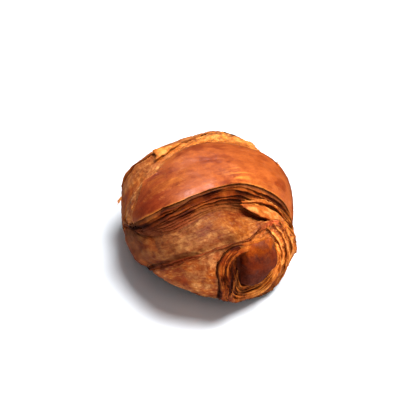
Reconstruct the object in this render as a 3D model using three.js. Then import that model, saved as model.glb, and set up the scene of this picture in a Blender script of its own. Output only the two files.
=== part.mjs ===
// A butter croissant, rolled from one sheet of laminated dough.
// The near arm points to -X and the far arm to +X. Both bend towards -Y.
// The outer end of the sheet is a belt round the middle. Its edges run round the body in a
// spiral, two and a half turns to each arm tip, and step down to the next turn of the roll.
// Millimetres, +Z up, the base patch on z = 0.
import * as THREE from 'three';

// Body section at the middle, seen from the near arm's end
const LEFT_HALF_WIDTH = 41;
const RIGHT_HALF_WIDTH = 38.4;
const HALF_HEIGHT = 28.6;
const SECTION_ROUNDNESS = 2.2;
const AXIS_HEIGHT = 26.8;
const TIP_DROP = 4;
const TIP_REACH = 48;

// Bend of the two arms
const NEAR_BEND_RADIUS = 66;
const FAR_BEND_RADIUS = 150;

// Base: the underside eases into a flat patch
const BASE_EASE = 2;
const BASE_CUT = 0.72;

// Spiral of the sheet's edge
const APEX_ANGLE = THREE.MathUtils.degToRad(-98);
const TURNS = 3;
const CLOSING_TURN = 2.4;
const APEX_SCALE = 0.9;
const APEX_TURN = 0.04;
const CROWN_SCALE = 1.0;

// Laminated edge faces
const LAYERS = 3;
const LIP_OVERHANG = 0.8;
const LAYER_GROOVE = 0.6;

// End of the rolled core: flat sides by their facing (degrees from up) and distance, softly joined
const NUB_SIDES = [[-92, 8.6], [-4, 11], [78, 9], [134, 8.4], [182, 12]];
const NUB_DOME = 0.62;

// Mesh density
const COLUMNS = 60;
const BELT_ROWS = 5;
const CAP_ROWS = [0.35, 0.7];
const DOME_ROWS = 4;

const UP = new THREE.Vector3(0, 0, 1);

const clamp01 = (x) => Math.min(1, Math.max(0, x));
const smooth = (x) => clamp01(x) ** 2 * (3 - 2 * clamp01(x));
const quick = (x) => 1 - (1 - clamp01(x)) ** 2;
const slow = (x) => 0.2 * clamp01(x) + 0.8 * smooth(x) ** 1.5;

// A value that starts at one level and moves to the next over each ramp, with dents and bumps
function profile(t, { start, ramps = [], bumps = [] }) {
  let value = start;
  for (const { from, to, level, before, ease = smooth } of ramps) {
    value += (level - before) * ease((t - from) / (to - from));
  }
  for (const { at, wide, by } of bumps) {
    value += by * Math.exp(-(((t - at) / wide) ** 2));
  }
  return value;
}

// Each arm's edge, against turns from the apex: the left side is 0, the top 0.25, the right 0.5.
// along: distance from the middle. scale: share of the body section at the lip.
// width and depth: the laminated face's run towards the tip and its drop, as a share.
// roll: how far the lip turns in. nub: the end of the rolled core, facing in degrees off the axis,
// with softer corners for a lower softness power.
const NEAR_ARM = {
  sign: 1,
  along: {
    start: 0,
    ramps: [
      { from: 0, to: 0.175, before: 0, level: 17.5, ease: quick },
      { from: 0.9, to: 1.18, before: 17.5, level: 40 },
      { from: 2.1, to: 2.3, before: 40, level: 43.5 },
    ],
    bumps: [
      { at: 0.25, wide: 0.1, by: 3 },
      { at: 0.5, wide: 0.1, by: 3 },
      { at: 0.88, wide: 0.14, by: -10 },
      { at: 1.5, wide: 0.12, by: -2.5 },
      { at: 1.8, wide: 0.12, by: -4 },
      { at: 2.05, wide: 0.08, by: 2.5 },
    ],
  },
  scale: {
    start: APEX_SCALE,
    ramps: [
      { from: 0, to: 0.15, before: APEX_SCALE, level: 0.94 },
      { from: 0.85, to: 1.13, before: 0.94, level: 0.82 },
      { from: 1.62, to: 2.04, before: 0.82, level: 0.44 },
    ],
    bumps: [
      { at: 0.25, wide: 0.09, by: 0.07 },
      { at: 0.45, wide: 0.1, by: -0.1 },
      { at: 0.58, wide: 0.12, by: 0.04 },
      { at: 0.75, wide: 0.12, by: 0.05 },
      { at: 1.27, wide: 0.1, by: -0.27 },
      { at: 1.5, wide: 0.13, by: -0.13 },
      { at: 1.68, wide: 0.1, by: 0.05 },
      { at: 2.15, wide: 0.1, by: 0.19 },
    ],
  },
  width: {
    start: 2.9,
    bumps: [
      { at: 0.12, wide: 0.1, by: 4.5 },
      { at: 0.45, wide: 0.15, by: 6.5 },
      { at: 0.56, wide: 0.1, by: 7 },
      { at: 1.15, wide: 0.17, by: -2 },
      { at: 1.33, wide: 0.11, by: -1.6 },
      { at: 1.85, wide: 0.25, by: 1.4 },
      { at: 2.35, wide: 0.2, by: -2 },
    ],
  },
  depth: {
    start: 0.09,
    bumps: [
      { at: 0.1, wide: 0.08, by: 0.04 },
      { at: 0.37, wide: 0.19, by: 0.31 },
      { at: 0.57, wide: 0.1, by: -0.12 },
      { at: 1.12, wide: 0.18, by: -0.06 },
      { at: 1.9, wide: 0.25, by: 0.08 },
    ],
  },
  roll: { start: 0.01, bumps: [{ at: 1.12, wide: 0.2, by: 0.05 }] },
  faceOpening: 0.06,
  nub: { at: 44, rise: 4.6, side: 1.6, facing: -25, size: 1, reach: 6.5, softness: 8 },
};

const FAR_ARM = {
  sign: -1,
  along: {
    start: 0,
    ramps: [
      { from: 0, to: 0.28, before: 0, level: 19.5, ease: slow },
      { from: 1.1, to: 1.34, before: 19.5, level: 38 },
      { from: 1.9, to: 2.3, before: 38, level: 48 },
    ],
  },
  scale: {
    start: APEX_SCALE,
    ramps: [
      { from: 0.1, to: 0.4, before: APEX_SCALE, level: 0.92 },
      { from: 1.0, to: 1.25, before: 0.92, level: 0.74 },
      { from: 1.6, to: 2.1, before: 0.74, level: 0.48 },
      { from: 2.2, to: 2.6, before: 0.48, level: 0.34 },
    ],
    bumps: [
      { at: 0.12, wide: 0.08, by: -0.07 },
      { at: 0.85, wide: 0.12, by: 0.07 },
    ],
  },
  width: { start: 2.8, bumps: [{ at: 0.33, wide: 0.15, by: 4 }] },
  depth: { start: 0.1, bumps: [{ at: 0.33, wide: 0.15, by: 0.06 }] },
  roll: { start: 0.01 },
  faceOpening: 0.08,
  nub: { at: 50, rise: 1, side: 0, facing: 0, size: 0.92, reach: 5, softness: 4 },
};

// How full each turn is between its foot and its lip
const FULLNESS = {
  start: 2,
  ramps: [
    { from: 0.8, to: 1.1, before: 2, level: 1.5 },
    { from: 1.7, to: 1.9, before: 1.5, level: 1.25 },
  ],
};
const BULGE = { start: 0.02, ramps: [{ from: 1.2, to: 2, before: 0.02, level: 0.025 }] };
const BULGE_LENGTH = 11.5;
const BULGE_PEAK = 2.6;
const CROWN_BULGE = 5;

// The bent axis of the roll: its point and its two level directions at a distance along it
function axisFrame(s) {
  const bend = 1 / (s >= 0 ? NEAR_BEND_RADIUS : FAR_BEND_RADIUS);
  const turn = bend * s;
  return {
    centre: new THREE.Vector3(-Math.sin(turn) / bend, -(1 - Math.cos(turn)) / bend, 0),
    side: new THREE.Vector3(Math.sin(turn), -Math.cos(turn), 0),
    ahead: new THREE.Vector3(-Math.cos(turn), -Math.sin(turn), 0),
    height: AXIS_HEIGHT - TIP_DROP * Math.min(1.2, Math.abs(s) / TIP_REACH) ** 2,
  };
}

function sectionRadius(angle) {
  const sin = Math.abs(Math.sin(angle));
  const cos = Math.abs(Math.cos(angle));
  const halfWidth = Math.sin(angle) > 0 ? RIGHT_HALF_WIDTH : LEFT_HALF_WIDTH;
  const sum = (sin / halfWidth) ** SECTION_ROUNDNESS + (cos / HALF_HEIGHT) ** SECTION_ROUNDNESS;
  return sum ** (-1 / SECTION_ROUNDNESS);
}

// Hand-rolled unevenness, a share of the radius
function unevenness(s, angle) {
  return 0.012 * Math.sin(2 * angle + 0.095 * s) + 0.01 * Math.sin(3 * angle - 0.148 * s + 1);
}

function onBase(z) {
  const eased = 0.5 * (z + Math.hypot(z, BASE_EASE));
  return Math.max(0, eased - BASE_CUT);
}

// A point of the body from its distance along the axis, its share of the section and its angle
function place(s, share, angle) {
  const { centre, side, height } = axisFrame(s);
  const radius = share * sectionRadius(angle) * (1 + unevenness(s, angle));
  const point = centre.addScaledVector(side, radius * Math.sin(angle));
  point.z = onBase(height + radius * Math.cos(angle));
  return point;
}

// Lip and foot of the sheet's edge at a number of turns. The last part closes on the turn before
function edgeAt(arm, t) {
  const open = clamp01(t / arm.faceOpening);
  const away = clamp01(t / APEX_TURN);
  let s = profile(t, arm.along) * away;
  let share = APEX_SCALE + (profile(t, arm.scale) - APEX_SCALE) * away;
  let width = profile(t, arm.width) * open;
  let depth = profile(t, arm.depth) * open;
  let roll = profile(t, arm.roll) * open;
  if (t > CLOSING_TURN) {
    const closing = ((t - CLOSING_TURN) / (TURNS - CLOSING_TURN)) ** 1.5;
    const before = edgeAt(arm, t - 1);
    s += (before.foot.s - s) * closing;
    share += (before.foot.share - share) * closing;
    width *= 1 - closing;
    depth *= 1 - closing;
    roll *= 1 - closing;
  }
  const foot = { s: s + width, share: share * (1 - depth) };
  return { lip: { s, share: share - roll }, foot, width, roll };
}

// How a turn swells from its foot (0) to its lip (1): level at the belt's middle, where arms meet
function swell(t, u) {
  const inner = smooth((t - 0.75) / 0.25);
  return (1 - inner) * CROWN_BULGE * u * u * (1 - u) + inner * BULGE_PEAK * Math.sqrt(u) * (1 - u);
}

// One turn of the sheet, from the foot of the turn outside it to its own lip
function turnProfile(arm, t) {
  const angle = APEX_ANGLE + 2 * Math.PI * t;
  const { lip, roll } = edgeAt(arm, t);
  const crown = APEX_SCALE + (CROWN_SCALE - APEX_SCALE) * Math.sin(Math.PI * Math.min(1, t)) ** 0.5;
  const start = t <= 1 ? { s: 0, share: crown } : edgeAt(arm, t - 1).foot;
  const power = profile(t, FULLNESS);
  const bulge = profile(t, BULGE) * Math.min(1, (lip.s - start.s) / BULGE_LENGTH);
  const points = [];
  for (let row = 0; row <= BELT_ROWS; row++) {
    const u = row / BELT_ROWS;
    const rise = bulge * swell(t, u) - roll * smooth((u - 0.7) / 0.3) ** 2;
    const share = start.share + (lip.share + roll - start.share) * u ** power + rise;
    points.push(place(arm.sign * (start.s + (lip.s - start.s) * u), share, angle));
  }
  return points;
}

// The laminated face under a lip: each layer's edge stands out over a groove
function faceProfile(arm, t) {
  const angle = APEX_ANGLE + 2 * Math.PI * t;
  const { lip, foot, width } = edgeAt(arm, t);
  const strength = Math.min(1, width / 2.5);
  const points = [];
  const steps = 2 * LAYERS;
  for (let step = 1; step <= steps; step++) {
    const w = step / steps;
    const inGroove = step % 2 === 1 ? 1 : 0;
    const hang = LIP_OVERHANG * strength * Math.sin(Math.PI * w) + LAYER_GROOVE * strength * inGroove;
    const s = lip.s + (foot.s - lip.s) * w - hang;
    const share = lip.share + (foot.share - lip.share) * w - 0.02 * strength * inGroove;
    points.push(place(arm.sign * s, share, angle));
  }
  return points;
}

// The arm's end: a slope from the last foot to the end of the rolled core, which stands out
function endProfile(arm, t) {
  const angle = APEX_ANGLE + 2 * Math.PI * t;
  const { foot } = edgeAt(arm, t);
  const { at, rise, side, facing, size, reach, softness } = arm.nub;
  const frame = axisFrame(arm.sign * at);
  frame.side.applyAxisAngle(UP, THREE.MathUtils.degToRad(facing));
  frame.ahead.applyAxisAngle(UP, THREE.MathUtils.degToRad(facing));
  const middle = frame.centre.clone().addScaledVector(frame.side, side);
  middle.z = frame.height + rise;
  let sum = 0;
  for (const [sideFacing, distance] of NUB_SIDES) {
    const towardSide = Math.max(0, Math.cos(angle - THREE.MathUtils.degToRad(sideFacing)));
    sum += (towardSide / (distance * size)) ** softness;
  }
  const spread = sum ** (-1 / softness);
  const rim = middle.clone().addScaledVector(frame.side, spread * Math.sin(angle));
  rim.z += spread * Math.cos(angle);
  const outer = place(arm.sign * foot.s, foot.share, angle);
  const points = CAP_ROWS.map((w) => outer.clone().lerp(rim, w));
  for (let row = 0; row <= DOME_ROWS; row++) {
    const lean = (Math.PI / 2) * (row / DOME_ROWS);
    const point = row === DOME_ROWS ? middle.clone() : middle.clone().lerp(rim, Math.cos(lean) ** NUB_DOME);
    points.push(point.addScaledVector(frame.ahead, arm.sign * reach * Math.sin(lean)));
  }
  return points;
}

// One column of the arm's surface, from the middle of the belt to the tip
function armColumn(arm, fraction) {
  const points = [];
  for (let turn = 0; turn < TURNS; turn++) {
    const t = fraction + turn;
    points.push(...turnProfile(arm, t), ...faceProfile(arm, t));
  }
  points.push(...endProfile(arm, fraction + TURNS - 1));
  return points;
}

// Joins the columns of both arms into one closed mesh, merging points that coincide
function croissantGeometry() {
  const positions = [];
  const indexOf = new Map();
  const triangles = [];
  const vertex = (point) => {
    const key = [point.x, point.y, point.z].map((value) => Math.round(value * 1000)).join(' ');
    if (!indexOf.has(key)) {
      indexOf.set(key, positions.length / 3);
      positions.push(point.x, point.y, point.z);
    }
    return indexOf.get(key);
  };
  const triangle = (a, b, c) => {
    if (a !== b && b !== c && c !== a) triangles.push(a, b, c);
  };
  for (const arm of [NEAR_ARM, FAR_ARM]) {
    const columns = [];
    for (let column = 0; column <= COLUMNS; column++) {
      columns.push(armColumn(arm, column / COLUMNS).map(vertex));
    }
    for (let column = 0; column < COLUMNS; column++) {
      for (let row = 0; row + 1 < columns[0].length; row++) {
        const [a, b] = [columns[column][row], columns[column + 1][row]];
        const [d, c] = [columns[column][row + 1], columns[column + 1][row + 1]];
        if (arm.sign < 0) {
          triangle(a, b, c);
          triangle(a, c, d);
        } else {
          triangle(a, c, b);
          triangle(a, d, c);
        }
      }
    }
  }
  const geometry = new THREE.BufferGeometry();
  geometry.setAttribute('position', new THREE.Float32BufferAttribute(positions, 3));
  geometry.setIndex(triangles);
  geometry.computeBoundingBox();
  const middle = geometry.boundingBox.getCenter(new THREE.Vector3());
  geometry.translate(-middle.x, -middle.y, 0);
  geometry.computeVertexNormals();
  return geometry;
}

const crust = new THREE.MeshStandardMaterial({ color: 0xb8682e, roughness: 0.5, metalness: 0 });
const croissant = new THREE.Mesh(croissantGeometry(), crust);
croissant.name = 'croissant';

const part = new THREE.Group();
part.name = 'croissant_part';
part.add(croissant);

export default part;
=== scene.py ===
import math

import bpy
import numpy as np
from mathutils import Matrix, Vector


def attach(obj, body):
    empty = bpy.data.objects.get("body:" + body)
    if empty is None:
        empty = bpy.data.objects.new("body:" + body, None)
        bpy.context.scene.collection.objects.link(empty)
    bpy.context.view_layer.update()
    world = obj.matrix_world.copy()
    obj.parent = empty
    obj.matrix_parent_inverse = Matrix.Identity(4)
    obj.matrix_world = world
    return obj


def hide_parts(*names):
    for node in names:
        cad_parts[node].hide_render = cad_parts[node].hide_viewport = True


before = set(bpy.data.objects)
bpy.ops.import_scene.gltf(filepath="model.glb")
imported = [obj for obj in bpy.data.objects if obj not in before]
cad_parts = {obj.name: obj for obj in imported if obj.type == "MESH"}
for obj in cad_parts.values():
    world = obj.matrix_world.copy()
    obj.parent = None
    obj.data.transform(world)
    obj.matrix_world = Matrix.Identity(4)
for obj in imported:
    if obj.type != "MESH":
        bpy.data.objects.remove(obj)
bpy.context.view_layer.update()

# Body section at the middle, in millimetres, seen from the near arm's end
LEFT_HALF_WIDTH = 41
RIGHT_HALF_WIDTH = 38.4
HALF_HEIGHT = 28.6
SECTION_ROUNDNESS = 2.2
AXIS_HEIGHT = 26.8
TIP_DROP = 4
TIP_REACH = 48
NEAR_BEND_RADIUS = 66
FAR_BEND_RADIUS = 150
BASE_EASE = 2
BASE_CUT = 0.72

# Spiral of the sheet's edge
APEX_ANGLE = math.radians(-98)
TURNS = 3
CLOSING_TURN = 2.4
APEX_SCALE = 0.9
APEX_TURN = 0.04
CROWN_SCALE = 1.0

# End of the rolled core: flat sides by their facing (degrees from up) and distance, softly joined
NUB_SIDES = [(-92, 8.6), (-4, 11), (78, 9), (134, 8.4), (182, 12)]
NUB_DOME = 0.62

# Mesh density
COLUMNS = 432
CAP_LAYERS = 6
DOME_ROWS = 12
MERGE_DISTANCE = 0.0005

SEED = 11


def clamp01(x):
    return np.clip(x, 0, 1)


def smooth(x):
    x = clamp01(x)
    return x * x * (3 - 2 * x)


def quick(x):
    return 1 - (1 - clamp01(x)) ** 2


def slow(x):
    return 0.2 * clamp01(x) + 0.8 * smooth(x) ** 1.5


def band(values, low, high):
    return smooth((values - low) / (high - low))


def profile(t, start, ramps=(), bumps=()):
    """A value that moves from level to level over ramps (from, to, before, level) with bumps."""
    value = np.full_like(np.asarray(t, float), start)
    for first, last, before, level, *ease in ramps:
        rise = (ease[0] if ease else smooth)((t - first) / (last - first))
        value = value + (level - before) * rise
    for at, wide, by in bumps:
        value = value + by * np.exp(-(((t - at) / wide) ** 2))
    return value


NEAR_ARM = dict(
    sign=1,
    along=dict(
        start=0,
        ramps=[(0, 0.175, 0, 17.5, quick), (0.9, 1.18, 17.5, 40), (2.1, 2.3, 40, 43.5)],
        bumps=[
            (0.25, 0.1, 3),
            (0.5, 0.1, 3),
            (0.88, 0.14, -10),
            (1.5, 0.12, -2.5),
            (1.8, 0.12, -4),
            (2.05, 0.08, 2.5),
        ],
    ),
    scale=dict(
        start=APEX_SCALE,
        ramps=[(0, 0.15, APEX_SCALE, 0.94), (0.85, 1.13, 0.94, 0.82), (1.62, 2.04, 0.82, 0.44)],
        bumps=[
            (0.25, 0.09, 0.07),
            (0.45, 0.1, -0.1),
            (0.58, 0.12, 0.04),
            (0.75, 0.12, 0.05),
            (1.27, 0.1, -0.27),
            (1.5, 0.13, -0.13),
            (1.68, 0.1, 0.05),
            (2.15, 0.1, 0.19),
        ],
    ),
    width=dict(
        start=2.9,
        bumps=[
            (0.12, 0.1, 4.5),
            (0.45, 0.15, 6.5),
            (0.56, 0.1, 7),
            (1.15, 0.17, -2),
            (1.33, 0.11, -1.6),
            (1.85, 0.25, 1.4),
            (2.35, 0.2, -2),
        ],
    ),
    depth=dict(
        start=0.09,
        bumps=[
            (0.1, 0.08, 0.04),
            (0.37, 0.19, 0.31),
            (0.57, 0.1, -0.12),
            (1.12, 0.18, -0.06),
            (1.9, 0.25, 0.08),
        ],
    ),
    face_opening=0.06,
    nub=dict(at=44, rise=4.6, side=1.6, facing=-25, size=1, reach=6.5, softness=8),
    roll=dict(start=0.01, bumps=[(1.12, 0.2, 0.05)]),
    turn_rows=32,
    layers=8,
    joined=[(5, 0.42, 0.09), (6, 0.43, 0.09), (7, 0.43, 0.1), (1, 0.3, 0.08), (2, 0.47, 0.06)],
    pockets=[
        (1, 0.36, 0.05, 0.9),
        (3, 0.42, 0.045, 2.2),
        (4, 0.56, 0.03, 2.0),
        (2, 0.64, 0.04, 1.8),
        (5, 0.67, 0.04, 1.6),
    ],
)

FAR_ARM = dict(
    sign=-1,
    along=dict(start=0, ramps=[(0, 0.28, 0, 19.5, slow), (1.1, 1.34, 19.5, 38), (1.9, 2.3, 38, 48)]),
    scale=dict(
        start=APEX_SCALE,
        ramps=[
            (0.1, 0.4, APEX_SCALE, 0.92),
            (1.0, 1.25, 0.92, 0.74),
            (1.6, 2.1, 0.74, 0.48),
            (2.2, 2.6, 0.48, 0.34),
        ],
        bumps=[(0.12, 0.08, -0.07), (0.85, 0.12, 0.07)],
    ),
    width=dict(start=2.8, bumps=[(0.33, 0.15, 4)]),
    depth=dict(start=0.1, bumps=[(0.33, 0.15, 0.06)]),
    face_opening=0.08,
    nub=dict(at=50, rise=1, side=0, facing=0, size=0.92, reach=5, softness=4),
    roll=dict(start=0.01),
    turn_rows=30,
    layers=5,
    joined=[],
    pockets=[(2, 0.4, 0.06, 1.0)],
)

FULLNESS = dict(start=2, ramps=[(0.8, 1.1, 2, 1.5), (1.7, 1.9, 1.5, 1.25)])
BULGE = dict(start=0.02, ramps=[(1.2, 2, 0.02, 0.025)])
BULGE_LENGTH = 11.5
BULGE_PEAK = 2.6
CROWN_BULGE = 5


def chance(i, j, k, seed):
    """A fixed random number from -1 to 1 for each cell of a lattice."""
    n = (i * 73856093) ^ (j * 19349663) ^ (k * 83492791) ^ ((seed + SEED) * 2654435761)
    n = n & 0xFFFFFFFF
    n = ((n ^ (n >> 13)) * 1274126177) & 0xFFFFFFFF
    n = ((n ^ (n >> 16)) * 668265263) & 0xFFFFFFFF
    return (n ^ (n >> 15)) / 0x7FFFFFFF - 1


def noise(points, size, seed):
    """Smooth noise from -1 to 1 at points, with lumps of about that size."""
    p = np.asarray(points, float) / size
    cell = np.floor(p).astype(np.int64)
    f = p - cell
    f = f * f * f * (f * (f * 6 - 15) + 10)
    total = 0
    for dx in (0, 1):
        for dy in (0, 1):
            for dz in (0, 1):
                weight = (
                    (f[..., 0] if dx else 1 - f[..., 0])
                    * (f[..., 1] if dy else 1 - f[..., 1])
                    * (f[..., 2] if dz else 1 - f[..., 2])
                )
                total = total + weight * chance(
                    cell[..., 0] + dx, cell[..., 1] + dy, cell[..., 2] + dz, seed
                )
    return total


def layered_noise(points, size, seed, octaves=3):
    return sum(noise(points, size / 2**n, seed + n) * 0.5**n for n in range(octaves))


def line_noise(t, size, seed):
    """Smooth noise along one number."""
    t = np.asarray(t, float)
    return noise(np.stack([t, 0 * t + 0.5 * size, 0 * t + 0.5 * size], -1), size, seed)


def swell(t, u):
    """How a turn swells from its foot (0) to its lip (1), level at the belt's middle."""
    inner = smooth((t - 0.75) / 0.25)
    return (1 - inner) * CROWN_BULGE * u * u * (1 - u) + inner * BULGE_PEAK * np.sqrt(u) * (1 - u)


# Far edge of the belt's egg-washed sheet on its left shoulder: turn and millimetres towards the tip
SHOULDER_EDGE = [
    (0, 15),
    (0.05, 10.5),
    (0.072, 8),
    (0.083, 7.4),
    (0.093, 6),
    (0.104, 3),
    (0.118, -0.2),
    (0.135, -0.6),
    (0.148, -1.2),
    (0.163, -5),
    (0.178, -9),
    (0.195, -13),
]


def past_shoulder(t, along):
    """Millimetres past the shoulder edge, away from the near arm, wandering a little."""
    turns, reach = zip(*SHOULDER_EDGE)
    return np.interp(t, turns, reach) + 0.5 * line_noise(t, 0.02, 400) - along


def axis_frame(s):
    s = np.asarray(s, float)
    bend = np.where(s >= 0, 1 / NEAR_BEND_RADIUS, 1 / FAR_BEND_RADIUS)
    turn = bend * s
    centre = np.stack([-np.sin(turn) / bend, -(1 - np.cos(turn)) / bend, 0 * turn], -1)
    side = np.stack([np.sin(turn), -np.cos(turn), 0 * turn], -1)
    ahead = np.stack([-np.cos(turn), -np.sin(turn), 0 * turn], -1)
    height = AXIS_HEIGHT - TIP_DROP * np.minimum(1.2, np.abs(s) / TIP_REACH) ** 2
    return centre, side, ahead, height


def section_radius(angle):
    half_width = np.where(np.sin(angle) > 0, RIGHT_HALF_WIDTH, LEFT_HALF_WIDTH)
    total = (np.abs(np.sin(angle)) / half_width) ** SECTION_ROUNDNESS
    total = total + (np.abs(np.cos(angle)) / HALF_HEIGHT) ** SECTION_ROUNDNESS
    return total ** (-1 / SECTION_ROUNDNESS)


def place(s, share, angle):
    """A point of the body from its distance along the axis, its share of the section and angle."""
    centre, side, ahead, height = axis_frame(s)
    uneven = 0.012 * np.sin(2 * angle + 0.095 * s) + 0.01 * np.sin(3 * angle - 0.148 * s + 1)
    radius = share * section_radius(angle) * (1 + uneven)
    point = centre + (radius * np.sin(angle))[..., None] * side
    z = height + radius * np.cos(angle)
    point[..., 2] = np.maximum(0, 0.5 * (z + np.hypot(z, BASE_EASE)) - BASE_CUT)
    return point


def edge_at(arm, t):
    """Lip and foot of the sheet's edge, with how open its laminated face is."""
    t = np.asarray(t, float)
    opening = clamp01(t / arm["face_opening"])
    away = clamp01(t / APEX_TURN)
    s = profile(t, **arm["along"]) * away
    share = APEX_SCALE + (profile(t, **arm["scale"]) - APEX_SCALE) * away
    width = profile(t, **arm["width"]) * opening
    depth = profile(t, **arm["depth"]) * opening
    closing = np.maximum(t - CLOSING_TURN, 0) / (TURNS - CLOSING_TURN)
    closing = closing**1.5
    before = np.maximum(t - 1, 0)
    s_before = profile(before, **arm["along"])
    share_before = profile(before, **arm["scale"])
    foot_s = s_before + profile(before, **arm["width"])
    foot_share = share_before * (1 - profile(before, **arm["depth"]))
    s = s + (foot_s - s) * closing
    share = share + (foot_share - share) * closing
    width = width * (1 - closing)
    depth = depth * (1 - closing)
    return s, share, s + width, share * (1 - depth), opening * (1 - closing)


def arm_grid(arm):
    """The arm's surface as rows by columns of points, with what the finish needs to know."""
    sign = arm["sign"]
    fraction = np.linspace(0, 1, COLUMNS + 1)
    rows = []
    facts = []

    def add(points, **values):
        rows.append(points)
        fact = dict(turn=0.0, layer=0.0, ridge=0.0, lip=9.0, foot=9.0, rolled=0.0, nub=0.0, across=0.0)
        fact.update(values)
        shape = points.shape[:-1]
        facts.append({key: np.broadcast_to(np.asarray(value, float), shape) for key, value in fact.items()})

    for block in range(TURNS):
        t = fraction + block
        angle = APEX_ANGLE + 2 * math.pi * t
        lip_s, lip_share, foot_s, foot_share, opening = edge_at(arm, t)
        if block == 0:
            start_s = 0 * t
            start_share = APEX_SCALE + (CROWN_SCALE - APEX_SCALE) * np.sin(math.pi * t).clip(0) ** 0.5
        else:
            start_s, start_share = edge_at(arm, t - 1)[2:4]
        width = foot_s - lip_s
        torn = 0.45 * line_noise(t, 0.035, 20 + sign) + 0.35 * line_noise(t, 0.012, 30 + sign)
        lip_s = lip_s + torn * opening
        radius = section_radius(angle)
        length = lip_s - start_s
        power = profile(t, **FULLNESS)
        bulge = profile(t, **BULGE) * np.minimum(1, length / BULGE_LENGTH)
        step = np.linspace(0, 1, arm["turn_rows"] + 1)[:, None]
        u = 0.5 * step + 0.5 * (0.5 - 0.5 * np.cos(math.pi * step))
        share = start_share + (lip_share - start_share) * u**power + bulge * swell(t, u)
        curl = 0.35 * opening * line_noise(t, 0.05, 40 + sign)
        share = share + curl * smooth((u - 0.85) / 0.15) / radius
        share = share - profile(t, **arm["roll"]) * opening * smooth((u - 0.7) / 0.3) ** 2
        s = start_s + length * u
        wide = np.broadcast_to(angle, s.shape)
        long = np.maximum(length, 0)
        follow = smooth((t - 0.7) / 0.3) * smooth(u / 0.4)
        add(
            place(sign * s, share, wide),
            turn=t,
            lip=long * (1 - u),
            foot=long * u if block else 9.0,
            across=s - follow * lip_s,
        )

        layers = arm["layers"]
        strength = np.minimum(1, width / 2.5)
        wide_face = band(width, 6, 10)
        cuts = [0 * t]
        for i in range(1, layers):
            wander = 0.9 * line_noise(t, 0.13, 50 + 7 * i + sign)
            wander = wander + 0.45 * line_noise(t, 0.04, 90 + 7 * i + sign)
            cuts.append((i + np.clip(wander, -0.45, 0.45)) / layers)
        cuts.append(0 * t + 1)
        lips = share[-1]
        drop = lips - foot_share
        face_points = []
        ridges = []
        shares_down = []
        for i in range(layers):
            first, last = cuts[i], cuts[i + 1]
            present = band(line_noise(t, 0.09, 210 + 3 * i + sign) + 0.5, 0, 0.4)
            for layer, at, long in arm["joined"]:
                if layer == i:
                    present = present * (1 - np.exp(-(((t - at) / long) ** 2)))
            present = np.maximum(present, 0.15) if i else 1.0 + 0 * t
            present = present * (1 - 0.65 * band(0.5 * (first + last), 0.4, 0.95) * (1 - wide_face))
            reach = strength * present
            over = reach * (0.75 + 0.5 * line_noise(t, 0.03, 130 + i) + 0.3 * line_noise(t, 0.011, 150 + i))
            over = over * (1 + 0.9 * wide_face) * (1 + 0.8 * line_noise(t, 0.2, 180 + i + sign))
            under = reach * (0.7 if i else 1.3) * (1 + 0.8 * wide_face)
            thick = (0.45 + 0.5 * wide_face if i else 1.1) * reach / radius
            for layer, at, long, deep in arm["pockets"]:
                if layer == i:
                    opened = np.exp(-(((t - at) / long) ** 2))
                    under = under + deep * opened
                    thick = thick + 0.5 * opened / radius
            thick = np.minimum(thick, 0.45 * drop * (last - first) + 0.002)
            at = lip_s + width * first + (over if i else 0)
            groove_s = lip_s + width * (0.5 * first + 0.5 * last) - under
            groove_share = lips - drop * (0.4 * first + 0.6 * last)
            quarter = [
                (at, lips - drop * first, 1.0),
                (at - 0.15 * reach, lips - drop * first - thick, 0.8),
                (groove_s, groove_share, 0.0),
                (lip_s + width * last - 0.25 * under, lips - drop * last, 0.35),
            ]
            if i == layers - 1:
                quarter[3] = (foot_s, foot_share, 0.2)
            for row_s, row_share, ridge in quarter:
                face_points.append(place(sign * row_s, row_share + 0 * row_s, angle))
                ridges.append(ridge + (0.7 - ridge) * (1 - np.minimum(1, present)))
                shares_down.append(0.5 * (first + last))
        add(
            np.array(face_points),
            turn=t,
            layer=np.minimum(1, width / 1.2),
            ridge=np.array(ridges),
            lip=0.0,
            foot=0.0,
            rolled=np.array(shares_down),
        )

    nub = arm["nub"]
    centre, side, ahead, height = axis_frame(sign * nub["at"])
    facing = math.radians(nub["facing"])
    turned = np.array(
        [[math.cos(facing), -math.sin(facing), 0], [math.sin(facing), math.cos(facing), 0], [0, 0, 1]]
    )
    middle = centre + side * nub["side"]
    middle[2] = height + nub["rise"]
    side = turned @ side
    ahead = turned @ ahead * sign
    t = fraction + TURNS - 1
    angle = APEX_ANGLE + 2 * math.pi * t
    total = 0
    for facing_angle, distance in NUB_SIDES:
        toward_side = np.maximum(0, np.cos(angle - math.radians(facing_angle)))
        total = total + (toward_side / (distance * nub["size"])) ** nub["softness"]
    spread = total ** (-1 / nub["softness"])
    rim = middle + (spread * np.sin(angle))[:, None] * side
    rim = rim + (spread * np.cos(angle))[:, None] * np.array([0, 0, 1.0])
    outer = rows[-1][-1]
    gap = np.linalg.norm(outer - rim, axis=-1)
    strength = np.minimum(1, gap / 6)
    cap = []
    ridges = []
    depths = []
    away_from_seam = np.sin(math.pi * fraction) ** 0.5
    for i in range(CAP_LAYERS):
        present = 1 - away_from_seam * band(0.2 - line_noise(fraction, 0.1, 230 + 5 * i + sign), 0, 0.5)
        wander = 0.25 * line_noise(fraction + 0.5, 0.09, 170 + i + sign) * np.sin(math.pi * fraction)
        uneven = 0.5 * line_noise(fraction, 0.05, 190 + i + sign) * np.sin(math.pi * fraction)
        crest = strength * (0.9 + uneven)
        for part, lift, ridge in ((0.1, 0.0, 0.2), (0.3, 0.9, 1.0), (0.55, 1.0, 0.9), (0.75, -0.35, 0.0)):
            w = (i + part + wander) / CAP_LAYERS
            raised = crest * (0.45 + (lift - 0.45) * present)
            cap.append(outer + (rim - outer) * w[:, None] + raised[:, None] * ahead)
            ridges.append(0.75 + (ridge - 0.75) * present)
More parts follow.
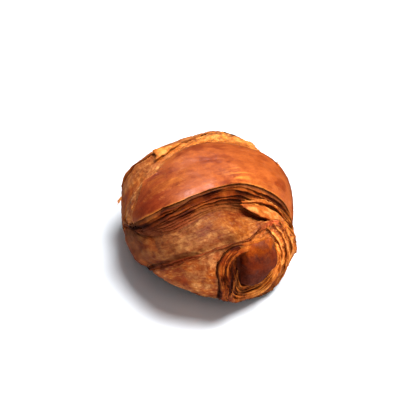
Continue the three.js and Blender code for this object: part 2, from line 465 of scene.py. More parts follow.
            depths.append([1 + 0.2 * (i + part)])
    add(np.array(cap), turn=t, layer=1.0, ridge=np.array(ridges), lip=0.0, foot=0.0, rolled=np.array(depths))
    dome = []
    for lean in np.linspace(0, math.pi / 2, DOME_ROWS + 1):
        shrink = max(math.cos(lean), 0) ** NUB_DOME
        dome.append(middle + (rim - middle) * shrink + ahead * nub["reach"] * math.sin(lean))
    add(np.array(dome), turn=t, nub=1.0)

    grid = np.concatenate(rows)
    values = {key: np.concatenate([fact[key] for fact in facts]) for key in facts[0]}
    return grid, values


def merged_body():
    """Both arms as one closed surface of quads and triangles, with points that coincide merged."""
    points = []
    faces = []
    arms = []
    values = {}
    offset = 0
    for arm in (NEAR_ARM, FAR_ARM):
        grid, fact = arm_grid(arm)
        count_rows, count_columns = grid.shape[:2]
        index = offset + np.arange(count_rows * count_columns).reshape(count_rows, count_columns)
        a, b = index[:-1, :-1], index[:-1, 1:]
        d, c = index[1:, :-1], index[1:, 1:]
        quads = np.stack([a, b, c, d] if arm["sign"] < 0 else [a, d, c, b], -1).reshape(-1, 4)
        points.append(grid.reshape(-1, 3))
        faces.append(quads)
        arms.append(np.full(len(quads), arm["sign"]))
        angle = APEX_ANGLE + 2 * math.pi * (fact["turn"] % 1)
        fact["angle"] = angle
        fact["sign"] = np.full(grid.shape[:2], float(arm["sign"]))
        for key, value in fact.items():
            values.setdefault(key, []).append(value.reshape(-1))
        offset += count_rows * count_columns
    points = np.concatenate(points)
    values = {key: np.concatenate(value) for key, value in values.items()}
    keys = np.round(points / MERGE_DISTANCE).astype(np.int64)
    first, inverse = np.unique(keys, axis=0, return_index=True, return_inverse=True)[1:]
    inverse = inverse.reshape(-1)
    faces = inverse[np.concatenate(faces)]
    arms = np.concatenate(arms)
    points = points[first]
    values = {key: value[first] for key, value in values.items()}
    return points, faces, arms, values


def face_list(faces):
    """Quads and triangles without repeated corners, and which of the faces they came from."""
    kept = []
    source = []
    same = faces == np.roll(faces, -1, axis=1)
    repeats = same.sum(1)
    across = (faces[:, 0] == faces[:, 2]) | (faces[:, 1] == faces[:, 3])
    for number in np.nonzero((repeats <= 1) & ~across)[0]:
        corners = list(dict.fromkeys(faces[number].tolist()))
        if len(corners) >= 3:
            kept.append(corners)
            source.append(number)
    return kept, np.array(source)


def vertex_normals(points, faces):
    a, b, c, d = (points[faces[:, i]] for i in range(4))
    across = np.cross(c - a, d - b)
    normals = np.zeros_like(points)
    for i in range(4):
        np.add.at(normals, faces[:, i], across)
    return normals / np.maximum(np.linalg.norm(normals, axis=1, keepdims=True), 1e-12)


def on_turn(arm, t, u, lift=0.0):
    """Points on the smooth surface of a turn, from its foot (u 0) to its lip (u 1), lifted off it."""
    t = np.atleast_1d(np.asarray(t, float))
    lip_s, lip_share = edge_at(arm, t)[:2]
    foot_s, foot_share = edge_at(arm, np.maximum(t - 1, 0))[2:4]
    start_s = np.where(t <= 1, 0, foot_s)
    start_share = np.where(t <= 1, CROWN_SCALE, foot_share)
    angle = APEX_ANGLE + 2 * math.pi * t
    length = lip_s - start_s
    bulge = profile(t, **BULGE) * np.minimum(1, length / BULGE_LENGTH)
    share = start_share + (lip_share - start_share) * u ** profile(t, **FULLNESS)
    share = share + bulge * swell(t, u) + lift / section_radius(angle)
    return place(arm["sign"] * (start_s + length * u), share, angle)


# Colours of the crust, linear
EGG_RED = (0.34, 0.068, 0.011)
EGG_DARK = (0.15, 0.012, 0.001)
GOLD = (0.62, 0.18, 0.025)
AMBER = (0.32, 0.075, 0.008)
TAN = (0.25, 0.073, 0.018)
GREY_TAN = (0.2, 0.075, 0.028)
# painted shade, darkening the grooves between layers, the creases at the start of each turn, the pit and the
# step past the shoulder edge
GROOVE_SHADE = (0.045, 0.006, 0.0015)
EDGE = (0.27, 0.042, 0.004)
LAYER_TAN = (0.36, 0.07, 0.02)
PALE = (0.78, 0.34, 0.095)
NUB_BROWN = (0.13, 0.0145, 0.001)
# painted light: the lit orange of the nub's top
NUB_LIT_ORANGE = (0.27, 0.047, 0.002)
# painted shade for the nub's lower part, also used for its darker random veins
NUB_SHADE_AND_VEINS = (0.07, 0.014, 0.007)
# painted shade near the floor
UNDERSIDE_SHADE = (0.07, 0.02, 0.006)


def toward(colours, colour, share):
    share = np.asarray(share, float)[:, None]
    return colours * (1 - share) + np.array(colour) * share


def plain_colour(colour):
    return np.broadcast_to(np.array(colour), points.shape)


def near_spot(centre, radius):
    """How close each point is to a place on the crust, fading over a radius in millimetres."""
    return np.exp(-((np.linalg.norm(plain_points - centre, axis=1) / radius) ** 2))


points, faces, arms, fact = merged_body()
plain_points = points
middle = 0.5 * (points.min(0) + points.max(0))
middle[2] = 0

smooth_normals = vertex_normals(points, faces)
turn_surface = (1 - np.maximum(fact["layer"], fact["nub"])).clip(0, 1)
grain = np.stack([fact["across"], np.cos(fact["angle"]), np.sin(fact["angle"])], -1)
off_base = band(points[:, 2], 0.3, 4)
outer_turn = band(1.15 - fact["turn"], 0, 0.3) * turn_surface
inner_turn = turn_surface - outer_turn

lumps = 0.5 * noise(points, 15, 1) + 0.3 * noise(points, 7, 2) + 0.14 * noise(points, 3.2, 3)
stretch = layered_noise(grain * (1, 3.5, 3.5), 1.3, 10, 3)
stretch_lines = -np.abs(stretch) ** 0.7
peel_noise = layered_noise(grain * (1, 13, 13), 9, 20, 4)
peel_limit = 0.62 - 0.25 * (fact["turn"] > 1)
peeled = band(peel_noise - peel_limit, 0, 0.06) * turn_surface * band(fact["foot"], 1, 4)
curl_up = np.exp(-(((peel_noise - peel_limit) / 0.02) ** 2)) * turn_surface
blisters = np.maximum(0, noise(points, 2.6, 31) - 0.42) + np.maximum(0, noise(points, 1.5, 33) - 0.5)
crumple = layered_noise(points, 1.6, 36, 2)

turn = fact["turn"]
near_side = fact["sign"] > 0
part_turn = turn % 1
torn_top = ~near_side * band(part_turn, 0.17, 0.25) * band(0.62 - part_turn, 0, 0.08)
torn_top = torn_top * (turn > 1) * turn_surface
fine_folds = layered_noise(grain * (1, 2.2, 2.2), 1.7, 44, 3)
torn_side = near_side * (turn > 1.25) * band(part_turn, 0.42, 0.48) * band(0.8 - part_turn, 0, 0.08)

past = past_shoulder(turn, fact["sign"] * fact["across"])
shoulder = outer_turn * band(0.2 - turn, 0, 0.015)
past_edge = shoulder * band(past, 0, 0.5)
by_edge = shoulder * np.exp(-(((past - 1.2) / 1.4) ** 2)) * (past > 0)
outer_turn = outer_turn * (1 - past_edge)
inner_turn = inner_turn + past_edge
edge_lines = line_noise(past + 0.3 * noise(points, 4, 410), 0.9, 411)
crumb = 0.6 * layered_noise(points, 0.9, 90, 3) + 0.6 * layered_noise(grain * (1.4, 3, 3), 0.8, 96, 3)

rise = lumps * (1 - 0.45 * outer_turn) - 0.25
edge_rim = np.exp(-(((past + 0.3) / 0.45) ** 2))
rise = rise - 0.7 * past_edge + 0.3 * shoulder * edge_rim + 0.3 * by_edge * edge_lines
by_foot = band(10 - fact["foot"], 0, 8)
rise = rise + inner_turn * ((0.15 + 0.25 * by_foot) * stretch_lines + 0.2 * crumple + 0.12 * fine_folds)
rise = rise + inner_turn * 0.2 * crumb
rise = rise + outer_turn * (0.05 * stretch_lines + 0.05 * crumple + 0.05 * blisters)
rise = rise - (0.2 - 0.16 * outer_turn) * peeled + 0.05 * curl_up * (1 - outer_turn)
rise = rise + fact["layer"] * 0.15 * crumple
rise = rise + (torn_top + torn_side * turn_surface) * (0.3 * crumple + 0.4 * fine_folds)
rise = rise + fact["nub"] * (0.5 * noise(points, 4.5, 5) + 0.22 * crumple + 0.35 * blisters)
points = points + smooth_normals * (rise * off_base)[:, None]
points[:, 2] = np.maximum(points[:, 2], 0)
normals = vertex_normals(points, faces)

height = points[:, 2]
rolled = fact["rolled"]
ridge = fact["ridge"]
torn_back = ~near_side * band(turn, 0.12, 0.2) * band(0.6 - turn, 0, 0.1)
torn_right = near_side * band(turn, 0.33, 0.4) * band(0.8 - turn, 0, 0.1) * band(rolled, 0.25, 0.42)
golden_face = clamp01(torn_back + torn_right + 0.8 * torn_side)
soft_edge = near_side * band(turn, 1.0, 1.08) * band(1.45 - turn, 0, 0.05)
by_foot_stripe = near_side * band(turn, 1.28, 1.36) * band(1.5 - turn, 0, 0.05)
mottle = layered_noise(points, 6, 50, 4)
patches = layered_noise(points, 2.4, 56, 3)
streaks = layered_noise(grain * (1, 4, 4), 2.2, 60, 3)
lines = layered_noise(grain * (1, 2.5, 2.5), 0.9, 64, 2)
spots = dict(
    belt_end=near_spot(on_turn(NEAR_ARM, 0.115, 0.75), 11) * outer_turn,
    belt_orange=near_spot(on_turn(NEAR_ARM, 0.17, 0.4), 9) * outer_turn,
    scraped=near_spot(on_turn(NEAR_ARM, 0.33, 0.72), 5.5) * outer_turn,
    smooth_amber=near_spot(on_turn(NEAR_ARM, 1.28, 0.55), 9) * inner_turn,
    grey=near_spot(on_turn(NEAR_ARM, 1.15, 0.75), 9) * inner_turn,
    # painted shade at the pit in the crease where the arms meet
    pit_shade=near_spot(on_turn(NEAR_ARM, 1.2, 1.0), 4.5),
    dome=near_spot(on_turn(NEAR_ARM, 2.3, 0.6), 6) * inner_turn,
    matt_left=near_spot(on_turn(NEAR_ARM, 0.14, 0.45), 15) * outer_turn,
)
colours = plain_colour(AMBER)
colours = toward(colours, TAN, inner_turn * band(0.35 - mottle, -0.2, 0.5))
colours = toward(colours, GREY_TAN, 0.75 * spots["grey"])
colours = toward(colours, AMBER, 0.9 * clamp01(1.3 * spots["smooth_amber"]))
colours = toward(colours, GOLD, 0.5 * spots["dome"])
colours = toward(colours, GOLD, torn_top * band(patches + 0.6 * fine_folds, -0.6, 0.3))
colours = toward(colours, PALE, 0.35 * torn_top * band(patches, 0, 0.6))
colours = toward(colours, GOLD, 0.85 * torn_side * turn_surface * band(patches + fine_folds, -0.7, 0.2))
colours = toward(colours, EGG_RED, outer_turn)
untorn = 1 - torn_top
colours = toward(colours, EGG_DARK, 0.6 * band(mottle + 0.5 * streaks, 0.1, 0.9) * turn_surface * untorn)
dark_patches = (0.2 + 0.2 * near_side) * band(patches + lines, 0.15, 0.8)
colours = toward(colours, EGG_DARK, dark_patches * inner_turn * untorn)
colours = toward(colours, PALE, 0.22 * band(-patches - 0.6 * lines, 0.2, 0.8) * inner_turn)
dark_crumb = (0.18 + 0.22 * near_side) * band(-crumb, 0.05, 0.6)
colours = toward(colours, EGG_DARK, dark_crumb * inner_turn * untorn)
colours = toward(colours, PALE, 0.2 * band(crumb, 0.2, 0.7) * inner_turn)
colours = toward(colours, GOLD, 0.35 * spots["belt_orange"] * band(streaks, -0.2, 0.4))
colours = toward(colours, EGG_DARK, 0.8 * clamp01(1.25 * spots["belt_end"]))
colours = toward(colours, EGG_DARK, 0.5 * outer_turn * band(24 - height, 0, 12))
colours = toward(colours, EGG_DARK, 0.35 * spots["matt_left"])
colours = toward(colours, GOLD, spots["scraped"] * band(lines + 0.4 * streaks, 0.1, 0.4))
colours = toward(colours, EGG_DARK, 0.5 * inner_turn * by_foot * band(-lines, 0, 0.4))
colours = toward(colours, EGG_DARK, 0.85 * by_foot_stripe * band(3.2 - fact["foot"], 0, 1.2) * turn_surface)
colours = toward(colours, GOLD, 0.1 * peeled)
colours = toward(colours, PALE, 0.12 * curl_up)
# a thin golden rim along the belt's lip: partly its own baked colour, partly painted highlight
colours = toward(colours, GOLD, 0.7 * band(0.9 - fact["lip"], 0, 0.9) * outer_turn)
colours = toward(colours, GOLD, 0.8 * shoulder * band(past, -0.6, -0.1) * (1 - past_edge))
# painted shadow: a dark line just past the shoulder edge, at the foot of the step under the sheet's raised
# edge
colours = toward(colours, GROOVE_SHADE, 0.8 * shoulder * np.exp(-(((past - 0.7) / 0.35) ** 2)))
colours = toward(colours, EDGE, 0.7 * by_edge * band(edge_lines, 0, 0.5))
# painted shade: darker in the crease at the start of each turn, where it meets the laminated face above it
colours = toward(colours, GROOVE_SHADE, 0.45 * band(1.4 - fact["foot"], 0, 1.3) * turn_surface)
layer_place = np.stack([8 * rolled, 30 * turn, 0 * height], -1)
layer_tone = layered_noise(layer_place, 1.5, 70, 3)
# laminated faces: painted shade in the grooves between the layers, lighter towards the layer crests
face_colour = toward(plain_colour(GROOVE_SHADE), EDGE, ridge * band(layer_tone, -0.8, 0.4))
face_colour = toward(face_colour, GOLD, 0.25 * ridge * band(layer_tone, 0.2, 0.7))
face_colour = toward(face_colour, TAN, 0.75 * band(0.16 - rolled, 0, 0.06) * (0.4 + 0.6 * ridge))
fading = band(rolled, 0.5, 0.95) * (turn < 1) * near_side * band(0.36 - turn, -0.02, 0.05)
face_colour = toward(face_colour, TAN, 0.75 * fading)
left_layers = band(rolled, 0.3, 0.8) * near_side * band(0.2 - turn, 0, 0.07)
face_colour = toward(face_colour, LAYER_TAN, 0.85 * left_layers * (0.5 + 0.5 * ridge))
face_colour = toward(face_colour, LAYER_TAN, 0.8 * soft_edge)
face_colour = toward(face_colour, GOLD, golden_face * (0.2 + 0.7 * ridge))
pale_layers = band(layer_tone + 0.5 * patches, 0.0, 0.7)
face_colour = toward(face_colour, PALE, 0.35 * golden_face * ridge * pale_layers)
face_colour = toward(face_colour, EDGE, 0.45 * golden_face * band(-patches - 0.5 * lines, 0, 0.5))
dark_foot = 0.85 * near_side * band(turn, 0.3, 0.36) * band(0.5 - turn, 0, 0.05)
face_colour = toward(face_colour, EGG_DARK, dark_foot * band(rolled, 0.9, 0.95))
face_colour = toward(face_colour, TAN, 0.55 * ~near_side * (rolled >= 1) * band(patches + ridge, 0.1, 0.9))
golden_cap = 0.3 * near_side * (turn > 2.2)
face_colour = toward(face_colour, GOLD, golden_cap * band(ridge + 0.4 * patches, 0.2, 0.9))
colours = colours * (1 - fact["layer"])[:, None] + face_colour * fact["layer"][:, None]
# painted shade: a dark pit in the crease where the arms meet
colours = toward(colours, GROOVE_SHADE, 0.75 * clamp01(spots["pit_shade"]))
# nub: painted light makes it lighter orange towards the top and painted shade makes it darker towards the
# bottom; darker random veins on top
nub_colour = toward(plain_colour(NUB_BROWN), NUB_LIT_ORANGE, 0.9 * band(height + 3 * patches, 30, 42))
nub_colour = toward(nub_colour, NUB_SHADE_AND_VEINS, 0.7 * band(30 - height + 2 * patches, 0, 5))
nub_veins = layered_noise(points, 1.8, 94, 3)
nub_colour = toward(nub_colour, NUB_SHADE_AND_VEINS, 0.6 * band(patches + nub_veins, 0.2, 0.8))
colours = colours * (1 - fact["nub"])[:, None] + nub_colour * fact["nub"][:, None]
tone = np.where(near_side, np.where(turn > 1.95, 1.25, 0.8), 1.25)
tone = np.where(turn_surface * (turn > 1) > 0.5, tone, 1)
tone = tone + (0.86 - tone) * torn_top + 0.45 * past_edge - 0.25 * fact["layer"] * near_side * (turn < 0.33)
# the near arm's right side made lighter above its lower part: partly its golden crust, partly painted light
# from the right
right_crust_and_painted_light = 0.75 * near_side * (turn > 0.9) * band(-points[:, 1], 19, 26)
tone = tone + right_crust_and_painted_light * band(height, 10, 22) * (1 - fact["nub"])
colours = colours * tone[:, None]
# painted shade: much darker towards the floor, below about 9 mm
colours = toward(colours, UNDERSIDE_SHADE, 0.9 * band(9 - height, 0, 8))
gloss = 0.9 * outer_turn * (1 - 0.8 * clamp01(1.2 * spots["belt_end"])) * (1 - 0.65 * spots["matt_left"])
gloss = 0.05 + gloss + 0.4 * spots["smooth_amber"] + 0.06 * fact["nub"]
gloss = clamp01(gloss) * (1 - 0.7 * fact["layer"]) * (1 - 0.3 * peeled)


# Crust finish: bump depth in metres, and the egg wash as a clear coat
BUMP_DEPTH = 0.00025
COAT_ROUGHNESS = 0.36
COAT_IOR = 1.4
SPECULAR_LEVEL = 0.08


def crust_material():
    material = bpy.data.materials.new("crust")
    material.use_nodes = True
    nodes = material.node_tree.nodes
    links = material.node_tree.links
    nodes.clear()

    def node(kind, **values):
        made = nodes.new(kind)
        for key, value in values.items():
            setattr(made, key, value)
        return made

    def maths(operation, first, second):
        made = node("ShaderNodeMath", operation=operation)
        for slot, value in enumerate((first, second)):
            if isinstance(value, (int, float)):
                made.inputs[slot].default_value = value
            else:
                links.new(value, made.inputs[slot])
        return made.outputs[0]

    def fine_noise(vector, scale, detail, roughness=0.6):
        made = node("ShaderNodeTexNoise")
        made.inputs["Scale"].default_value = scale
        made.inputs["Detail"].default_value = detail
        made.inputs["Roughness"].default_value = roughness
        links.new(vector, made.inputs["Vector"])
        return made.outputs["Fac"]

    colour = node("ShaderNodeAttribute", attribute_name="crust_colour").outputs["Color"]
    gloss_value = node("ShaderNodeAttribute", attribute_name="gloss").outputs["Fac"]
    grain_vector = node("ShaderNodeAttribute", attribute_name="grain").outputs["Vector"]
    place_vector = node("ShaderNodeTexCoord").outputs["Object"]
    speckle = fine_noise(place_vector, 1500, 3)
    blotch = fine_noise(place_vector, 190, 5)
    fibres = fine_noise(grain_vector, 1.6, 5, 0.65)

    shade = maths("ADD", maths("MULTIPLY", fibres, 0.7), maths("MULTIPLY", blotch, 0.75))
    shade = maths("ADD", shade, maths("MULTIPLY", speckle, 0.45))
    contrast = maths("SUBTRACT", 2.5, gloss_value)
    shade = maths("ADD", maths("MULTIPLY", maths("SUBTRACT", shade, 0.95), contrast), 1.0)
    shade = maths("MAXIMUM", shade, 0.25)
    tint = node("ShaderNodeMix", data_type="RGBA", blend_type="MULTIPLY")
    tint.inputs[0].default_value = 1
    links.new(colour, tint.inputs[6])
    grey = node("ShaderNodeCombineColor")
    for channel, power in (("Red", 0.8), ("Green", 1.25), ("Blue", 1.5)):
        links.new(maths("POWER", shade, power), grey.inputs[channel])
    links.new(grey.outputs[0], tint.inputs[7])

    roughness = maths("SUBTRACT", 0.8, maths("MULTIPLY", gloss_value, 0.3))
    roughness = maths("ADD", roughness, maths("MULTIPLY", maths("SUBTRACT", blotch, 0.5), 0.25))
    relief = maths("ADD", maths("MULTIPLY", fibres, 0.5), maths("MULTIPLY", speckle, 0.35))
    bump = node("ShaderNodeBump")
    bump.inputs["Strength"].default_value = 0.5
    bump.inputs["Distance"].default_value = BUMP_DEPTH
    links.new(relief, bump.inputs["Height"])

    surface = node("ShaderNodeBsdfPrincipled")
    links.new(tint.outputs[2], surface.inputs["Base Color"])
    links.new(roughness, surface.inputs["Roughness"])
    links.new(bump.outputs[0], surface.inputs["Normal"])
    surface.inputs["Specular IOR Level"].default_value = SPECULAR_LEVEL
    links.new(maths("MULTIPLY", gloss_value, 0.7), surface.inputs["Coat Weight"])
    surface.inputs["Coat Roughness"].default_value = COAT_ROUGHNESS
    surface.inputs["Coat IOR"].default_value = COAT_IOR
    output = node("ShaderNodeOutputMaterial")
    links.new(surface.outputs[0], output.inputs["Surface"])
    return material


def crust_piece(name, sign, material):
    """One arm of the body, open in the middle of the belt, where its rim meets the other arm's rim."""
    kept, source = face_list(faces)
    chosen = [corners for corners, number in zip(kept, source) if arms[number] == sign]
    used = np.unique(np.concatenate([np.array(corners) for corners in chosen]))
    renumber = np.full(len(points), -1)
    renumber[used] = np.arange(len(used))
    polygons = [[int(renumber[corner]) for corner in corners] for corners in chosen]
    mesh = bpy.data.meshes.new(name)
    mesh.from_pydata(((points[used] - middle) * 0.001).tolist(), [], polygons)
    mesh.update()
    lengthwise = grain[used] * (1, 6, 6)
    on_nub = fact["nub"][used, None] > 0.5
    lengthwise = np.where(on_nub, plain_points[used] * 0.7, lengthwise)
    paint_mesh(mesh, colours[used], gloss[used], lengthwise)
    mesh.normals_split_custom_set_from_vertices(normals[used].tolist())
    place_piece(name, mesh, material)


def paint_mesh(mesh, paint, glossy, lengthwise):
    """Store each point's colour, gloss and grain coordinates, and shade the mesh smooth."""
    rgba = np.ones((len(paint), 4), np.float32)
    rgba[:, :3] = paint
    mesh.attributes.new("crust_colour", "FLOAT_COLOR", "POINT").data.foreach_set("color", rgba.reshape(-1))
    glossy = glossy.astype(np.float32)
    mesh.attributes.new("gloss", "FLOAT", "POINT").data.foreach_set("value", glossy)
    lengthwise = lengthwise.astype(np.float32).reshape(-1)
    mesh.attributes.new("grain", "FLOAT_VECTOR", "POINT").data.foreach_set("vector", lengthwise)
    mesh.shade_smooth()


def place_piece(name, mesh, material):
    mesh.materials.append(material)
    piece = bpy.data.objects.new(name, mesh)
    bpy.context.scene.collection.objects.link(piece)
    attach(piece, "root")
    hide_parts("croissant")


crust = crust_material()
crust_piece("near_half", 1, crust)
crust_piece("far_half", -1, crust)


# Gloss of the torn flakes, and points across and along a sheet laid on a turn or between two lines
SHEET_GLOSS = 0.1
TURN_SHEET_POINTS = (18, 34)
EDGE_SHEET_POINTS = (20, 48)


def thin_sheet(name, top, thickness, tone, rim_tone, material):
    """A torn piece of crust as a closed shell: outer surface, inner surface and rim."""
    down = np.gradient(top, axis=0)
    along = np.gradient(top, axis=1)
    outward = np.cross(down, along)
    outward = outward / np.maximum(np.linalg.norm(outward, axis=-1, keepdims=True), 1e-9)
    from_axis = top - np.array([top[..., 0].mean(), 0, AXIS_HEIGHT])
    if (outward * from_axis).sum() < 0:
        outward = -outward
        top = top[:, ::-1]
        outward = outward[:, ::-1]
    rows, columns = top.shape[:2]
    rough = 0.35 * layered_noise(top, 2.2, 80, 3)[..., None]
    outer = (top + outward * rough).reshape(-1, 3)
    inner = (top + outward * (rough - thickness)).reshape(-1, 3)
    index = np.arange(rows * columns).reshape(rows, columns)
    a, b, d, c = index[:-1, :-1], index[:-1, 1:], index[1:, :-1], index[1:, 1:]
    quads = np.stack([a, d, c, b], -1).reshape(-1, 4)
    edge = np.concatenate([index[0, :], index[1:, -1], index[-1, -2::-1], index[-2:0:-1, 0]])
    after = np.roll(edge, -1)
    count = rows * columns
    rim = np.stack([edge, after, after + count, edge + count], -1)
    all_points = np.concatenate([outer, inner])
    all_faces = np.concatenate([quads, quads[:, ::-1] + count, rim])
    mesh = bpy.data.meshes.new(name)
    mesh.from_pydata(((all_points - middle) * 0.001).tolist(), [], all_faces.tolist())
    mesh.update()
    across = np.abs(np.linspace(-1, 1, rows))[:, None] + 0 * np.linspace(-1, 1, columns)
    lengthwise = np.abs(np.linspace(-1, 1, columns))[None, :] + 0 * across
    by_rim = band(np.maximum(across, lengthwise), 0.7, 1.0).reshape(-1)
    uneven = layered_noise(outer, 2.4, 84, 3)
    paint = toward(np.broadcast_to(np.array(tone), outer.shape), PALE, 0.45 * band(-uneven, -0.6, 0.9))
    paint = toward(paint, EDGE, 0.35 * band(uneven, -0.2, 0.9))
    paint = toward(paint, rim_tone, 0.85 * by_rim)
    paint = np.concatenate([paint, np.broadcast_to(np.array(rim_tone), paint.shape)])
    paint_mesh(mesh, paint, np.full(2 * count, SHEET_GLOSS), all_points * (1, 4, 4))
    place_piece(name, mesh, material)


def sheet_on_turn(arm, turns, ups, lift, seed, taper=0.5):
    """A patch between two turn values and two places from foot (0) to lip (1), lifted at its first end."""
    across, along = TURN_SHEET_POINTS
    w = np.linspace(0, 1, along)
    v = np.linspace(0, 1, across)[:, None]
    ragged = 0.07 * line_noise(w, 0.12, seed)
    low = ups[0] + ragged + (ups[1] - ups[0]) * 0.5 * taper * w**2
    high = ups[1] + ragged - (ups[1] - ups[0]) * 0.5 * taper * w**2
    u = low + (high - low) * v
    slant = 0.12 * (line_noise(v[:, 0], 0.4, seed + 1)[:, None]) * (1 - w)
    t = turns[0] + (turns[1] - turns[0]) * (w + slant)
    raised = lift[1] + (lift[0] - lift[1]) * (1 - w) ** 2.5 + 0.25 * (2 * v - 1) ** 2
    return np.stack([on_turn(arm, *row) for row in zip(t, u, raised + 0 * u)])


def outward_from_axis(at):
    """Unit directions away from the near arm's axis, leaning a little towards its tip."""
    along = NEAR_BEND_RADIUS * np.arcsin(-at[..., 0] / NEAR_BEND_RADIUS)
    centre, side, ahead, level = axis_frame(along)
    outward = at - centre
    outward[..., 2] = at[..., 2] - level
    outward = outward + 0.35 * np.linalg.norm(outward, axis=-1, keepdims=True) * ahead
    return outward / np.linalg.norm(outward, axis=-1, keepdims=True)


def shingle(line, beyond, share, lift):
    """A flaky ridge that stands up along a line and slopes down towards the next line."""
    line = np.array(line, float)
    outward = outward_from_axis(line)
    foot_line = line + (np.array(beyond, float) - line) * share
    return between_edges(line + outward * lift, foot_line - outward * 0.4, 0.25, 0.5)


def between_edges(upper, lower, bulge, ragged):
    """A curved sheet between two lines of points, swelling outward between them."""
    across, along = EDGE_SHEET_POINTS
    w = np.linspace(0, 1, along)
    v = np.linspace(0, 1, across)[:, None, None]
    lines_at = []
    for number, line in enumerate((upper, lower)):
        line = np.array(line, float)
        place_on = np.linspace(0, 1, len(line))
        eased = np.stack([np.interp(w, place_on, line[:, axis]) for axis in range(3)], -1)
        for _ in range(12):
            eased[1:-1] = 0.25 * eased[:-2] + 0.5 * eased[1:-1] + 0.25 * eased[2:]
        lines_at.append(eased + (ragged * line_noise(w, 0.1, 300 + number))[:, None] * np.array([1, 0, 0.5]))
    first, second = lines_at
    surface = first + (second - first) * v
    fading_ends = np.sin(math.pi * w)[None, :, None] ** 0.5
    return surface + outward_from_axis(surface) * bulge * (4 * v * (1 - v)) * fading_ends


back_flap = sheet_on_turn(FAR_ARM, (1.137, 1.2), (0.4, 0.98), (1.5, 0.3), 310, 0.9)
thin_sheet("back_flap", back_flap, 0.4, GOLD, AMBER, crust)
left_flake = sheet_on_turn(FAR_ARM, (1.011, 1.023), (0.62, 0.74), (1.3, 0.1), 311)
thin_sheet("left_flake", left_flake, 0.25, GOLD, GOLD, crust)
belt_flake = sheet_on_turn(FAR_ARM, (0.436, 0.448), (0.5, 0.62), (1.3, 0.1), 312)
thin_sheet("belt_flake", belt_flake, 0.2, GOLD, GOLD, crust)
side_sheet = between_edges(
    [(-21.5, -11.0, 44.6), (-19.5, -17.0, 43.2), (-18.0, -24.5, 39.0), (-18.0, -31.0, 32.0)],
    [(-23.5, -12.0, 44.0), (-27.0, -18.3, 41.8), (-28.0, -24.0, 39.0), (-26.0, -30.0, 32.5)],
    0.9,
    0.6,
)
thin_sheet("side_sheet", side_sheet, 0.8, 1.15 * np.array(AMBER), EDGE, crust)

# Lines of the flaky ridges on the near arm's right side, from the nub outwards, in millimetres
ridge_lines = [
    [(-33.0, -20.0, 39.0), (-31.4, -24.7, 31.5), (-30.9, -27.5, 22.8), (-34.0, -25.6, 16.0)],
    [(-30.0, -23.1, 38.9), (-28.1, -27.9, 31.0), (-26.5, -30.7, 20.4), (-28.5, -29.4, 13.0)],
    [(-26.6, -26.7, 37.5), (-24.3, -31.2, 27.7), (-21.7, -33.5, 19.4), (-23.5, -31.5, 11.0)],
    [(-23.0, -29.0, 36.0), (-20.5, -33.5, 27.0), (-17.5, -35.5, 18.5), (-19.0, -34.0, 10.0)],
]
for number in range(3):
    ridge_sheet = shingle(ridge_lines[number], ridge_lines[number + 1], 0.55, 0.9)
    thin_sheet(f"ridge_{number + 1}", ridge_sheet, 0.6, 1.15 * np.array(GOLD), AMBER, crust)
pocket_line = [(-20.3, -11.7, 44.1), (-17.1, -20.6, 41.4), (-16.0, -26.6, 37.9), (-16.4, -30.5, 32.5)]
above_pocket = [(-17.5, -10.5, 46.5), (-14.0, -19.5, 44.0), (-13.0, -26.0, 40.0), (-13.5, -31.0, 34.0)]
thin_sheet("pocket_edge", shingle(pocket_line, above_pocket, 0.6, 0.8), 0.7, AMBER, EDGE, crust)


# Pale floor: half its width in metres and its colour
FLOOR_REACH = 3.0
FLOOR_COLOUR = (0.82, 0.86, 0.91, 1)


def plain_floor():
    mesh = bpy.data.meshes.new("floor")
    corners = [(FLOOR_REACH * x, FLOOR_REACH * y, 0) for x, y in ((-1, -1), (1, -1), (1, 1), (-1, 1))]
    mesh.from_pydata(corners, [], [(0, 1, 2, 3)])
    material = bpy.data.materials.new("pale_floor")
    material.use_nodes = True
    surface = material.node_tree.nodes["Principled BSDF"]
    surface.inputs["Base Color"].default_value = FLOOR_COLOUR
    surface.inputs["Roughness"].default_value = 0.9
    mesh.materials.append(material)
    floor = bpy.data.objects.new("floor", mesh)
    bpy.context.scene.collection.objects.link(floor)
    floor.visible_glossy = False


def area_light(name, place, size, power):
    light = bpy.data.lights.new(name, "AREA")
    light.shape = "DISK"
    light.size = size
    light.energy = power
    made = bpy.data.objects.new(name, light)
    made.location = place
    made.rotation_euler = (Vector((0, 0, 0.02)) - Vector(place)).to_track_quat("-Z", "Y").to_euler()
    bpy.context.scene.collection.objects.link(made)
    return made


# Viewing angle of the photograph, degrees: azimuth round +Z from -Y, and height
VIEW_AZIMUTH = 262
VIEW_HEIGHT = 36
VIEW_DISTANCE = 0.805
PIXELS_PER_MM = 2.26
FRAME_PIXELS = 420
SENSOR = 36
AIM_HEIGHT = 23
SHIFT_RIGHT = 2
SHIFT_UP = 8

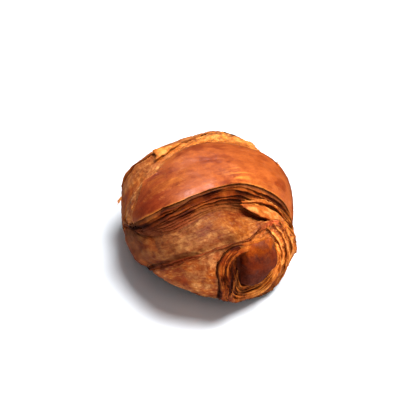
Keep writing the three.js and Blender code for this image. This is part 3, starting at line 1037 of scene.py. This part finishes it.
# Studio lights: size of each disc in metres, and power in watts
KEY_LIGHT = (0.62, 20)
FRONT_LIGHT = (0.7, 2.1)
SHEEN_LIGHT = (0.5, 18)
WORLD_STRENGTH = 0.07


def view_directions(azimuth, elevation):
    az, el = math.radians(azimuth), math.radians(elevation)
    back = Vector((math.sin(az) * math.cos(el), -math.cos(az) * math.cos(el), math.sin(el)))
    right = Vector((math.cos(az), math.sin(az), 0))
    return back, right, back.cross(right)


def photo_camera():
    back, right, up = view_directions(VIEW_AZIMUTH, VIEW_HEIGHT)
    target = (Vector((0, 0, AIM_HEIGHT)) - Vector(middle)) * 0.001
    data = bpy.data.cameras.new("camera")
    data.sensor_width = SENSOR
    data.sensor_fit = "HORIZONTAL"
    data.lens = PIXELS_PER_MM * VIEW_DISTANCE * 1000 * SENSOR / FRAME_PIXELS
    data.shift_x = SHIFT_RIGHT / FRAME_PIXELS
    data.shift_y = SHIFT_UP / FRAME_PIXELS
    camera = bpy.data.objects.new("camera", data)
    turned = Matrix((right, up, back)).transposed().to_4x4()
    camera.matrix_world = Matrix.Translation(target + back * VIEW_DISTANCE) @ turned
    bpy.context.scene.collection.objects.link(camera)
    bpy.context.scene.camera = camera


plain_floor()
photo_camera()
back, right, up = view_directions(VIEW_AZIMUTH, VIEW_HEIGHT)
level_back = Vector((back.x, back.y, 0)).normalized()
key = area_light("key", right * 0.3 + level_back * 0.1 + Vector((0, 0, 0.86)), *KEY_LIGHT)
key.visible_glossy = False
front = area_light("front", level_back * 0.7 + right * 0.15 + Vector((0, 0, 0.55)), *FRONT_LIGHT)
front.visible_glossy = False
sheen = area_light("sheen", level_back * -0.28 - right * 0.15 + Vector((0, 0, 0.93)), *SHEEN_LIGHT)
sheen.visible_diffuse = False
world = bpy.data.worlds.new("studio")
world.use_nodes = True
world.node_tree.nodes["Background"].inputs["Color"].default_value = (1, 1, 1, 1)
world.node_tree.nodes["Background"].inputs["Strength"].default_value = WORLD_STRENGTH
world.cycles_visibility.glossy = False
bpy.context.scene.world = world
bpy.context.scene.view_settings.view_transform = "Standard"
